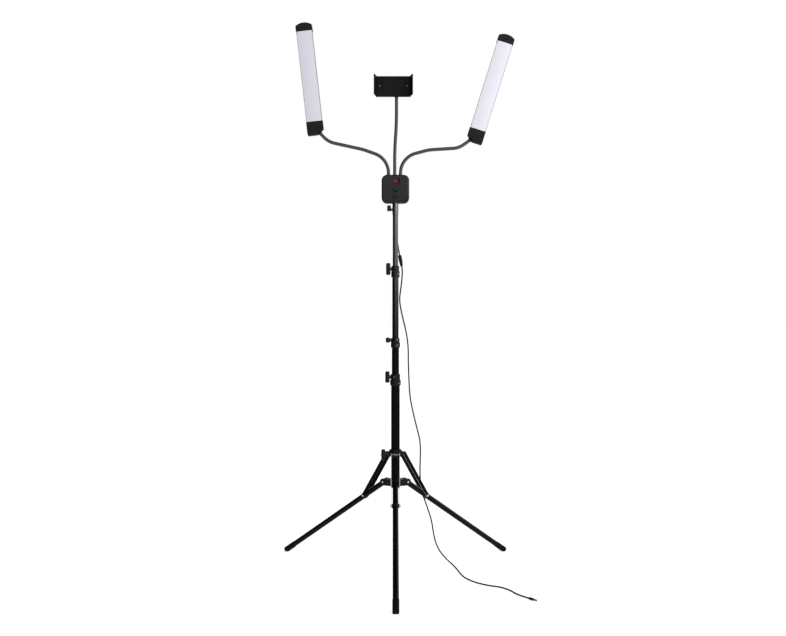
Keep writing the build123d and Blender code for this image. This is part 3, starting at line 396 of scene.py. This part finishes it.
def frosted(name, tones, roughness):
    """Milky diffuser sheet: soft cloudy tone, drawn out along the lamp, and a fine frosted surface."""
    look = Look(name, Specular_IOR_Level=0.35)
    look.feed("Base Color", look.tint(look.noise(scale=9, detail=2, stretch=CLOUDS), tones))
    look.feed("Roughness", look.between(look.noise(scale=160, detail=4), roughness))
    look.relief(look.noise(scale=2600, detail=2), depth=20e-6, strength=0.5)
    return look.material


def greys(*levels):
    """Greys with a slight cool tint."""
    return [(level, level, level * COOL_GREY) for level in levels]


# Looks of the record's material slots
LOOKS = {
    "tube_black": painted("tube_paint", greys(0.002, 0.003), roughness=(0.22, 0.3),
                          streak=ALONG_COLUMN, specular=0.2),
    "strut_steel": painted("strut_paint", greys(0.002, 0.004), roughness=(0.3, 0.42),
                           streak=UPRIGHT, specular=0.15),
    "clamp_plastic": moulded("clamp_plastic", greys(0.004, 0.007), roughness=(0.24, 0.34),
                             grain=1500, depth=20e-6, specular=0.5),
    "knob_plastic": moulded("knob_plastic", greys(0.006, 0.010), roughness=(0.34, 0.46),
                            grain=1500, depth=30e-6, specular=0.3),
    "hub_plastic": moulded("hub_plastic", greys(0.004, 0.007), roughness=(0.3, 0.42),
                           grain=1500, depth=20e-6, specular=0.4),
    "foot_rubber": moulded("foot_rubber", greys(0.004, 0.008), roughness=(0.65, 0.85),
                           grain=900, depth=50e-6, specular=0.1),
    "box_plastic": moulded("box_plastic", BOX_TONES, roughness=(0.28, 0.36),
                           grain=1900, depth=20e-6, specular=0.42),
    "dial_plastic": moulded("dial_plastic", greys(0.003, 0.005), roughness=(0.28, 0.36),
                            grain=1600, depth=20e-6, specular=0.4),
    "ferrule_black": moulded("ferrule_plastic", greys(0.003, 0.005), roughness=(0.42, 0.6),
                             grain=1500, depth=30e-6, specular=0.15),
    "neck_grey": moulded("neck_sleeve", greys(0.03, 0.04), roughness=(0.26, 0.36),
                         grain=1200, depth=20e-6, specular=0.8),
    "lamp_cap": moulded("lamp_cap_plastic", greys(0.003, 0.005), roughness=(0.3, 0.4),
                        grain=1700, depth=20e-6, specular=0.2),
    "holder_black": moulded("holder_plastic", greys(0.003, 0.005), roughness=(0.45, 0.62),
                            grain=1600, depth=30e-6, specular=0.15),
    "cord_black": moulded("cord_sheath", greys(0.006, 0.010), roughness=(0.45, 0.6),
                          grain=700, depth=30e-6, specular=0.2),
    "rivet_steel": metal("rivet_zinc", greys(0.75, 0.9), roughness=(0.34, 0.46),
                         streak=UPRIGHT, metallic=0.5),
    "spring_steel": metal("spring_steel", greys(0.45, 0.6), roughness=(0.3, 0.4), streak=CROSSWISE),
    "lamp_housing": metal("housing_aluminium", greys(0.27, 0.34), roughness=(0.38, 0.5), streak=ALONG_LAMP),
    "switch_black": glossy("switch_black", greys(0.003, 0.005), roughness=(0.22, 0.34), coat=0.3),
    "rocker_red": glossy("rocker_red", ROCKER_TONES, roughness=(0.2, 0.3), coat=0.1),
    "board_green": glossy("board_green", BOARD_TONES, roughness=(0.3, 0.4), coat=0.2),
    "led_board": glossy("led_board_white", greys(0.7, 0.78), roughness=(0.3, 0.4), coat=0.2),
    "diffuser_white": frosted("diffuser_sheet", DIFFUSER_TONES, roughness=(0.38, 0.5)),
}
# Looks of single pieces
DULL_STEEL = metal("dull_steel", greys(0.35, 0.45), roughness=(0.34, 0.44), streak=CROSSWISE)
NICKEL = metal("barrel_nickel", greys(0.6, 0.72), roughness=(0.16, 0.26), streak=EVENLY)
# Marks on the rocker, their pink tone also a painted highlight
MARK_AND_HIGHLIGHT_PAINT = glossy("switch_mark_and_highlight_paint", MARK_AND_HIGHLIGHT_TONES, roughness=(0.3, 0.4), coat=0.1)
DARK_RIVET = painted(
    "dark_rivet_paint", greys(0.004, 0.007), roughness=(0.3, 0.42), streak=EVENLY, specular=0.2)
TOP_TUBE_COAT = metal("top_tube_coat", greys(0.13, 0.165), roughness=(0.14, 0.2), streak=ALONG_COLUMN)
# Nodes whose finish differs from the rest of their slot: upper tubes with a coat that shines more, struts
# with a painted highlight on their narrow edges, ferrules that match the necks, and dull or blackened pivot
# pins
NODE_LOOKS = {
    "third_tube": metal("third_tube_coat", greys(0.08, 0.1), roughness=(0.14, 0.2), streak=ALONG_COLUMN),
    "top_tube": TOP_TUBE_COAT,
    "tube_socket": TOP_TUBE_COAT,
    "neck_ferrules": LOOKS["neck_grey"],
    "hub_pivot_pins": painted("hub_pin_paint", greys(0.004, 0.007), roughness=(0.3, 0.42),
                              streak=EVENLY, specular=0.3),
    "collar_pivot_pins": DULL_STEEL,
}
# Painted highlight: pale narrow edges on the struts that the light falls on
for leg_name in HIGHLIT_STRUTS:
    NODE_LOOKS[f"strut_{leg_name}"] = edge_highlight_bar(f"strut_{leg_name}_edge_highlight", LEG_AZIMUTHS[leg_name])


def piece(name, mesh, look, body, sharp=SHARP_ANGLE):
    """Finish a mesh as a piece that rides on a body. With no body it is left unattached."""
    obj = bpy.data.objects.new(name, mesh)
    bpy.context.scene.collection.objects.link(obj)
    mesh.materials.append(look)
    for face in mesh.polygons:
        face.use_smooth = True
    mesh.set_sharp_from_angle(angle=radians(sharp))
    if body:
        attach(obj, body)
    return obj


def bmesh_to_mesh(name, shape):
    """Close the making of a shape, with its faces turned outwards."""
    bmesh.ops.recalc_face_normals(shape, faces=shape.faces)
    mesh = bpy.data.meshes.new(name)
    shape.to_mesh(mesh)
    shape.free()
    return mesh


def join(shape, low, high):
    """Faces between two rings of points."""
    for step in range(len(low)):
        after = (step + 1) % len(low)
        shape.faces.new((low[step], low[after], high[after], high[step]))


def skin(shape, rings):
    """Join rings of points into a closed tube."""
    for low, high in zip(rings, rings[1:]):
        join(shape, low, high)
    shape.faces.new(rings[0])
    shape.faces.new(rings[-1])


def turned(shape, profile, place, axis, sides):
    """Add a turned solid to a mesh: radius and height pairs along an axis, closed at both ends."""
    turn = UP.rotation_difference(Vector(axis)).to_matrix().to_4x4()
    stand = Matrix.Translation(place) @ turn
    rings = []
    for radius, height in profile:
        ring = []
        for step in range(sides):
            angle = 2 * pi * step / sides
            ring.append(shape.verts.new(stand @ Vector((radius * cos(angle), radius * sin(angle), height))))
        rings.append(ring)
    skin(shape, rings)


def heads(name, profile, places, look, body, sides=HEAD_SIDES):
    """One piece of several equal turned heads, each at a place and facing along an axis."""
    shape = bmesh.new()
    for place, axis in places:
        turned(shape, profile, place, axis, sides)
    return piece(name, bmesh_to_mesh(name, shape), look, body)


def dome(radius, height):
    """Profile of a low round head on a short straight edge."""
    edge = height * HEAD_EDGE
    rise = [(radius, 0.0), (radius, edge)]
    for step in range(1, DOME_STEPS):
        angle = pi / 2 * step / DOME_STEPS
        rise.append((radius * cos(angle), edge + (height - edge) * sin(angle)))
    return rise + [(radius * HEAD_TIP, height)]


def socket_screw(radius, height):
    """Profile of a low screw head with a round recess for its key."""
    bevel = height * HEAD_EDGE
    recess, floor = radius * KEY_RECESS[0], height * KEY_RECESS[1]
    rim = [(radius, 0.0), (radius, height - bevel), (radius - bevel, height)]
    return rim + [(recess, height), (recess - bevel / 2, floor), (radius * HEAD_TIP, floor)]


def grip(radius, first, count, pitch, depth, taper):
    """Profile of shallow grooves round a moulded body, each land narrower than the last by the taper."""
    profile = []
    for ring in range(count):
        land, floor = radius - ring * taper, radius - ring * taper - depth
        low = first + ring * pitch
        down, up, back = (low + pitch * share for share in GROOVE)
        profile += [(land, low), (floor, down), (floor, up), (land, back)]
    return profile


def moulded_body(size, taper=0.0, nose=ROUND_NOSE):
    """Profile of a body moulded on a cord: a nose, a grooved grip and a bevelled end."""
    radius, length, nose_length, (first, count, pitch, depth) = size
    end = radius - taper * count
    profile = [(radius * across, nose_length * along) for across, along in nose]
    profile += grip(radius, first, count, pitch, depth, taper)
    return profile + [(end, length - MOULDED_EDGE), (end - MOULDED_EDGE, length)]


def tube_along(name, points, sides, radius_at):
    """Closed tube along points, whose radius is a function of the distance run and the angle round."""
    shape = bmesh.new()
    rings = []
    run = 0.0
    side = None
    for number, point in enumerate(points):
        ahead = points[min(number + 1, len(points) - 1)]
        behind = points[max(number - 1, 0)]
        along = (ahead - behind).normalized()
        if number:
            run += (point - points[number - 1]).length
        side = (side - along * side.dot(along)).normalized() if side else along.orthogonal().normalized()
        across = along.cross(side)
        ring = []
        for step in range(sides):
            angle = 2 * pi * step / sides
            out = side * cos(angle) + across * sin(angle)
            ring.append(shape.verts.new(point + out * radius_at(run, angle)))
        rings.append(ring)
    skin(shape, rings)
    return bmesh_to_mesh(name, shape)


def spline_points(route):
    """Points of the smooth line whose control points are a cord's route."""
    data = bpy.data.curves.new("route", "CURVE")
    data.dimensions = "3D"
    spline = data.splines.new("NURBS")
    spline.points.add(len(route) - 1)
    for control, place in zip(spline.points, route):
        control.co = (*place, 1)
    spline.order_u = 3
    spline.use_endpoint_u = True
    data.resolution_u = CORD_STEPS
    carrier = bpy.data.objects.new("route", data)
    mesh = bpy.data.meshes.new_from_object(carrier)
    points = [vertex.co.copy() for vertex in mesh.vertices]
    bpy.data.objects.remove(carrier)
    bpy.data.curves.remove(data)
    bpy.data.meshes.remove(mesh)
    return points


def sheath(name, points, body):
    """Round cord along points."""
    mesh = tube_along(name, points, CORD_SIDES, lambda run, angle: CORD_RADIUS)
    return piece(name, mesh, LOOKS["cord_black"], body)


def cords():
    """Lead and supply cord with their connectors, between the gland under the box and the barrel plug."""
    lead_points = spline_points(LEAD_ROUTE)
    lead = sheath("lead_cord_sheath", lead_points, None)
    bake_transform(lead)
    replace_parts(lead, "lead_cord")
    gland_boot()

    end = Vector(LEAD_ROUTE[-1])
    along = (end - Vector(LEAD_ROUTE[-2])).normalized()
    joint = end + along * INLINE_SOCKET[1]
    leave = joint + along * INLINE_PLUG[1]
    socket = cord_body("inline_socket", moulded_body(INLINE_SOCKET), end, along)
    plug = cord_body("inline_plug", moulded_body(INLINE_PLUG, INLINE_PLUG_TAPER), joint, along)

    route = [tuple(leave), tuple(leave + along * SUPPLY_FIRST_RUN)] + SUPPLY_ROUTE
    points = spline_points(route)
    supply = sheath("supply_cord_sheath", points, "top_section")
    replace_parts(supply, "supply_cord")
    away = (Vector(SUPPLY_ROUTE[-1]) - Vector(SUPPLY_ROUTE[-2])).normalized()
    barrel = barrel_plug(Vector(SUPPLY_ROUTE[-1]), away)
    hold_cord(supply, *barrel)


def cord_body(node, profile, place, along):
    """Connector moulded on the cord, in place of its plain solid."""
    look = LOOKS["cord_black"]
    obj = heads(f"{node}_body", profile, [(place, along)], look, "top_section", BODY_SIDES)
    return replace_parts(obj, node)


def gland_boot():
    """Ribbed strain relief under the box, where the lead leaves it."""
    place = Vector(LEAD_ROUTE[0]) + UP * GLAND_BOOT[1]
    profile = moulded_body(GLAND_BOOT, GLAND_TAPER, SQUARE_NOSE)
    look = LOOKS["ferrule_black"]
    boot = heads("cord_gland_boot", profile, [(place, -UP)], look, "head")
    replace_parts(boot, "cord_gland")


def barrel_plug(place, along):
    """Slim plug body with grip rings, and its bright barrel with a bore."""
    body = cord_body("supply_plug", moulded_body(BARREL_BODY), place, along)
    radius, length, bore = BARREL_TIP
    edge, floor = radius * BARREL_EDGE, length * BORE_FLOOR
    profile = [(radius, 0.0), (radius, length - edge), (radius - edge, length), (bore, length)]
    profile += [(bore - edge, floor), (bore * BORE_MIDDLE, floor)]
    seat = place + along * BARREL_BODY[1]
    seats = [(seat, along)]
    tip = heads("supply_plug_tip", profile, seats, NICKEL, "top_section", BODY_SIDES)
    return [body, tip]


def hold_cord(*objects):
    """Let each height of the cord move with the column section beside it, and its end stay on the floor."""
    for obj in objects:
        for (body, high, low), below in zip(CORD_HOLDS, [*CORD_HOLDS[1:], None]):
            group = obj.vertex_groups.new(name=body)
            for vertex in obj.data.vertices:
                share = hold_share(high, low, vertex.co.z)
                if below:
                    share -= hold_share(below[1], below[2], vertex.co.z)
                group.add([vertex.index], share, "REPLACE")
            hook = obj.modifiers.new(f"hold_{body}", "HOOK")
            hook.object = frame["bodies"][body]
            hook.vertex_group = body
            hook.falloff_type = "NONE"


def hold_share(high, low, height):
    """0 above the high mark and 1 below the low one, with an even ramp between that has rounded ends."""
    share = min(max((high - height) / (high - low), 0.0), 1.0)
    to_end = min(share, 1 - share)
    if to_end > HOLD_ROUNDING:
        return (share - HOLD_ROUNDING / 2) / (1 - HOLD_ROUNDING)
    part = to_end ** 2 / (2 * HOLD_ROUNDING * (1 - HOLD_ROUNDING))
    return part if share == to_end else 1 - part


def lamp_axes(side):
    """A lamp's lower middle, its direction to the right and its direction up."""
    x, z, lean, _ = LAMPS[side]
    angle = radians(lean)
    return Vector((x, 0, z)), Vector((cos(angle), 0, -sin(angle))), Vector((sin(angle), 0, cos(angle)))


def lamp_end(side):
    """Where a neck meets a lamp's cut corner, and the direction out of it."""
    foot, right, up = lamp_axes(side)
    inner = LAMPS[side][3]
    across, rise, drop = CAP_CHAMFER
    share = (hypot(across, rise) / 2 - drop) / hypot(across, rise)
    low_end = foot + right * inner * (CAP_HALF_WIDTH - across)
    seat = low_end + right * inner * across * share + up * rise * share
    return seat, (right * inner * rise - up * across).normalized()


def rounded_path(corners, radii, step):
    """Points along a neck's straight runs and tangent arcs, in the plane of the column."""
    points = [corners[0]]
    for before, corner, after, radius in zip(corners, corners[1:], corners[2:], radii):
        run_in, run_out = (corner - before).normalized(), (after - corner).normalized()
        turn = run_in.angle(run_out)
        start = corner - run_in * radius * tan(turn / 2)
        middle = start + (run_out - run_in * cos(turn)).normalized() * radius
        points += straight(points[-1], start, step)
        count = max(2, ceil(radius * turn / step))
        spin = run_in.cross(run_out).normalized()
        for number in range(1, count + 1):
            points.append(middle + Matrix.Rotation(turn * number / count, 3, spin) @ (start - middle))
    return points + straight(points[-1], corners[-1], step)


def straight(start, end, step):
    """Even points from just after a start to an end, a step apart or less."""
    count = max(1, ceil((end - start).length / step))
    return [start.lerp(end, number / count) for number in range(1, count + 1)]


def rib(run, angle):
    """Radius of a neck's wound sleeve."""
    pitch, height = NECK_RIB
    return NECK_RADIUS - height + height * cos(2 * pi * run / pitch - angle)


def upright(x, z):
    """Point in the plane of the column."""
    return Vector((x, 0, z))


def necks():
    """Bendable arms with a fine wound sleeve, each a fixed curved tube from the box to what it carries."""
    routes = {}
    for side, (x, corner, middle, last_run, radii) in ARMS.items():
        seat, out = lamp_end(side)
        end = seat + out * NECK_SOCKET
        corners = [upright(x, BOX_TOP), upright(x, corner), upright(*middle), end + out * last_run, end]
        routes[side] = (corners, radii, f"lamp_{side}")
    low, high = MIDDLE_NECK
    corners = [upright(low[0], BOX_TOP), upright(*low), upright(*high), upright(high[0], MIDDLE_NECK_TOP)]
    routes["middle"] = (corners, (MIDDLE_NECK_BEND, MIDDLE_NECK_BEND), "holder")
    for name, (corners, radii, carried) in routes.items():
        points = rounded_path(corners, radii, NECK_RIB[0] / RINGS_PER_RIB)
        mesh = tube_along(f"{name}_neck_sleeve", points, NECK_SIDES, rib)
        neck = piece(f"{name}_neck_sleeve", mesh, LOOKS["neck_grey"], None, NECK_SHARP_ANGLE)
        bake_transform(neck)
        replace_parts(neck, f"{name}_neck")


def leg_fittings():
    """Domed rivet heads on the hub, the collar and the struts, and a plug in each leg's upper end."""
    slope = radians(LEG_SLOPE)
    strut_foot = (HUB_PIVOT[0] + STRUT_SEAT * cos(slope), HUB_PIVOT[1] - STRUT_SEAT * sin(slope))
    for leg, azimuth in LEG_AZIMUTHS.items():
        angle = radians(azimuth)
        out, across = Vector((cos(angle), sin(angle), 0)), Vector((sin(angle), -cos(angle), 0))
        strut_look = DARK_RIVET if leg in DARK_STRUT_RIVETS else LOOKS["rivet_steel"]
        for joint, (distance, height), body, size, look in (
                ("hub", HUB_PIVOT, "stand_base", RIVET, LOOKS["rivet_steel"]),
                ("collar", COLLAR_PIVOT, "slider", COLLAR_RIVET, DARK_RIVET),
                ("strut", strut_foot, f"strut_{leg}", RIVET, strut_look)):
            pivot = out * distance + UP * height
            places = [(pivot + across * side * RIVET_FACES[joint], across * side) for side in (1, -1)]
            heads(f"{joint}_rivets_{leg}", dome(*size), places, look, body)
        back_along = UP * sin(slope) - out * cos(slope)
        tail = out * HUB_PIVOT[0] + UP * HUB_PIVOT[1] + back_along * LEG_TAIL
        plug = [(tail - back_along * LEG_PLUG[1] * PLUG_SUNK, back_along)]
        heads(f"leg_{leg}_plug", dome(*LEG_PLUG), plug, LOOKS["hub_plastic"], f"leg_{leg}")


def knob_reach(angle, size, inset):
    """Distance from a knob's axis to the outline of its bar, drawn in by an inset."""
    half_run, radius = (size[0] - size[1]) / 2, size[1] / 2 - inset
    along, aside = abs(cos(angle)), abs(sin(angle))
    if radius * along <= half_run * aside:
        reach = radius / aside
    else:
        reach = half_run * along + sqrt(radius ** 2 - (half_run * aside) ** 2)
    return max(reach, KNOB_HUB_RADIUS - inset)


def bar_knobs():
    """Bar knobs with well rounded edges, each on its collar and stem."""
    for name, (azimuth, height, collar, bar, turn, size) in KNOBS.items():
        out = Vector((cos(radians(azimuth)), sin(radians(azimuth)), 0))
        axis_foot = UP * height
        long_way = Matrix.Rotation(radians(turn), 3, out) @ UP
        short_way = out.cross(long_way)
        quarter = [pi / 2 * step / KNOB_ROUND_STEPS for step in range(KNOB_ROUND_STEPS + 1)]
        layers = [(1 - sin(angle), KNOB_ROUND * (1 - cos(angle))) for angle in quarter]
        layers += [(inset, size[2] - rise) for inset, rise in reversed(layers)]
        shape = bmesh.new()
        rings = []
        for inset, rise in layers:
            ring = []
            for step in range(KNOB_SIDES):
                angle = 2 * pi * step / KNOB_SIDES
                direction = long_way * cos(angle) + short_way * sin(angle)
                reach = knob_reach(angle, size, inset * KNOB_ROUND)
                ring.append(shape.verts.new(axis_foot + out * (bar + rise) + direction * reach))
            rings.append(ring)
        skin(shape, rings)
        stem_radius, stem_length = KNOB_STEM
        profile = [(stem_radius, -stem_length), (stem_radius, 0.0), (KNOB_COLLAR_RADIUS, 0.0)]
        profile += [(KNOB_COLLAR_RADIUS, bar - collar + KNOB_ROUND)]
        turned(shape, profile, axis_foot + out * collar, out, BODY_SIDES)
        mesh = bmesh_to_mesh(f"{name}_grip", shape)
        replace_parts(piece(f"{name}_grip", mesh, LOOKS["knob_plastic"], name), name)


def clamp_fittings():
    """Pinch bolt through each clamp's ears, and the rivets in its rings."""
    reach, bolt_radius, bolt_height = EAR_BOLT
    for name, (body, step, high, radius, rivets) in CLAMPS.items():
        middle = BACK * (radius + reach) + UP * (step + high - EAR_DROP) / 2
        bolt = [(middle + RIGHT * side * EAR_HALF_WIDTH, RIGHT * side) for side in (1, -1)]
        profile = socket_screw(bolt_radius, bolt_height)
        heads(f"{name}_clamp_bolt", profile, bolt, LOOKS["rivet_steel"], body)
        places = []
        for azimuth, rivet_height, seat in rivets:
            out = Vector((cos(radians(azimuth)), sin(radians(azimuth)), 0))
            places.append((out * (seat - CLAMP_RIVET[1] * RIVET_SUNK) + UP * rivet_height, out))
        heads(f"{name}_clamp_rivets", dome(*CLAMP_RIVET), places, DULL_STEEL, body)


def case_screws():
    """Screws in the rear of the box, in the backs of the lamp caps and in the phone holder."""
    wide, tall = (spacing / 2 for spacing in BOX_SCREW_SPACING)
    x, z = BOX_CENTRE
    corners = [Vector((x + i * wide, BOX_REAR, z + k * tall)) for i in (1, -1) for k in (1, -1)]
    steel = LOOKS["rivet_steel"]
    rear = [(corner, BACK) for corner in corners]
    heads("box_rear_screws", socket_screw(*BOX_SCREW), rear, steel, "head")
    for side in LAMPS:
        foot, right, up = lamp_axes(side)
        places = []
        for height in CAP_SCREW_HEIGHTS:
            for hand in (1, -1):
                aside = right * hand * CAP_SCREW_SPACING / 2
                places.append((foot + up * height + aside + BACK * CAP_BACK, BACK))
        body = f"lamp_{side}"
        heads(f"{body}_cap_screws", socket_screw(*CAP_SCREW), places, steel, body)
    front = [(Vector((x, HOLDER_FACE, z)), -BACK) for x, z in HOLDER_SCREWS]
    heads("holder_screws", dome(*HOLDER_SCREW), front, DULL_STEEL, "holder")


def rocker_marks_and_highlight():
    """On and off marks, proud of the rocker's dished face: a ring at its left and a line at its right, in a
    pink tone that also paints the highlight in the rocker's middle.
    """
    reach, half, line, proud = ROCKER_MARKS
    hollow, depth = ROCKER_FACE
    lean = radians(ROCKER_LEAN)
    along, back = Vector((cos(lean), -sin(lean), 0)), Vector((sin(lean), cos(lean), 0))
    shape = bmesh.new()

    def on_face(right, up, lift):
        """Point at a height over the dished face."""
        dish = sqrt(hollow ** 2 - right ** 2) - hollow - depth - lift
        return shape.verts.new(Vector(ROCKER_PIVOT) + along * right + UP * up + back * dish)

    sections = []
    for step in range(MARK_STEPS):
        angle = 2 * pi * step / MARK_STEPS
        section = []
        for radius, lift in ((half, -proud), (half, proud), (half - line, proud), (half - line, -proud)):
            section.append(on_face(radius * cos(angle) - reach, radius * sin(angle), lift))
        sections.append(section)
    for section, after in zip(sections, sections[1:] + sections[:1]):
        join(shape, section, after)

    corners = [(reach + side * line / 2, side * rise * half) for side in (1, -1) for rise in (-1, 1)]
    skin(shape, [[on_face(*corner, lift) for corner in corners] for lift in (-proud, proud)])
    mesh = bmesh_to_mesh("rocker_marks_and_highlight", shape)
    piece("rocker_marks_and_highlight", mesh, MARK_AND_HIGHLIGHT_PAINT, "rocker")


def dress_nodes():
    """Give every node of the model the finish of its material slot, or its own."""
    for part in frame["record"]["subparts"]:
        node = NODES[part["node"]]
        node.data.materials.clear()
        node.data.materials.append(NODE_LOOKS.get(part["node"], LOOKS[part["material_slot"]]))


def lamp(name, kind, place, aim, power, **settings):
    """A studio light at a place, turned towards its aim."""
    data = bpy.data.lights.new(name, kind)
    data.energy = power
    for setting, value in settings.items():
        setattr(data, setting, value)
    light = bpy.data.objects.new(name, data)
    bpy.context.scene.collection.objects.link(light)
    light.location = place
    light.visible_camera = False
    light.rotation_euler = (Vector(aim) - Vector(place)).to_track_quat("-Z", "Y").to_euler()


def surroundings():
    """White background, with light on the object from the right front, from behind and from below."""
    world = bpy.data.worlds.new("studio")
    world.use_nodes = True
    tree = world.node_tree
    towards = add_node(tree, "ShaderNodeTexCoord").outputs["Generated"]
    height = add_node(tree, "ShaderNodeSeparateXYZ", {"Vector": towards}).outputs["Z"]

    def share(value, limits):
        """Smooth share of the way from one limit to the other."""
        inputs = {"Value": value, "From Min": limits[0], "From Max": limits[1]}
        ramp = add_node(tree, "ShaderNodeMapRange", inputs, interpolation_type="SMOOTHSTEP")
        return ramp.outputs["Result"]

    def facing(side, limits):
        """Share of light for directions that come near to a side."""
        inputs = {0: towards, 1: side}
        dot = add_node(tree, "ShaderNodeVectorMath", inputs, operation="DOT_PRODUCT").outputs["Value"]
        return share(dot, limits)

    def combine(first, second, operation):
        """One number out of two."""
        return add_node(tree, "ShaderNodeMath", {0: first, 1: second}, operation=operation).outputs["Value"]

    rise = share(height, KEY_RISE)
    key = combine(facing(KEY_SIDE, KEY_SPREAD), rise, "MULTIPLY")
    key = combine(key, share(height, KEY_FALL), "MULTIPLY")
    behind = combine(facing(BACK_SIDE, BACK_SPREAD), rise, "MULTIPLY")
    below = share(height, FLOOR_SPREAD)
    light = FILL_LIGHT
    for part, strength in ((key, KEY_LIGHT), (behind, BACK_LIGHT), (below, FLOOR_MIRRORED)):
        light = combine(combine(part, strength, "MULTIPLY"), light, "ADD")
    seen = add_node(tree, "ShaderNodeLightPath").outputs["Is Camera Ray"]
    levels = {"Value": seen, "To Min": light, "To Max": BACKGROUND_LIGHT}
    level = add_node(tree, "ShaderNodeMapRange", levels)
    tree.links.new(level.outputs["Result"], tree.nodes["Background"].inputs["Strength"])
    tree.nodes["Background"].inputs["Color"].default_value = WHITE
    bpy.context.scene.world = world


def studio():
    """Pale floor, soft lights, white surroundings and the photograph's camera."""
    scene = bpy.context.scene
    scene.view_settings.view_transform = "Standard"

    shape = bmesh.new()
    bmesh.ops.create_grid(shape, x_segments=1, y_segments=1, size=FLOOR_REACH)
    floor = bpy.data.objects.new("floor", bmesh_to_mesh("floor", shape))
    scene.collection.objects.link(floor)
    paper = Look("floor_paper", Specular_IOR_Level=0.1, Emission_Strength=FLOOR_GLOW)
    paper.feed("Base Color", paper.tint(paper.noise(scale=2, detail=3), PAPER_TONES))
    paper.feed("Roughness", paper.between(paper.noise(scale=5, detail=3), PAPER_ROUGHNESS))
    floor.data.materials.append(paper.material)
    floor.visible_glossy = False

    surroundings()
    lamp("front_light", "SUN", **FRONT_SUN)
    lamp("right_softbox", "AREA", **RIGHT_SOFTBOX)

    lens = bpy.data.cameras.new("photo_camera")
    lens.sensor_width = SENSOR_WIDTH
    lens.lens = FOCAL_PIXELS * SENSOR_WIDTH / PHOTO_WIDTH
    camera = bpy.data.objects.new("photo_camera", lens)
    scene.collection.objects.link(camera)
    camera.location = CAMERA_PLACE
    camera.rotation_euler = (pi / 2, 0, 0)
    scene.camera = camera


studio()
cords()
dress_nodes()
necks()
leg_fittings()
bar_knobs()
clamp_fittings()
case_screws()
rocker_marks_and_highlight()
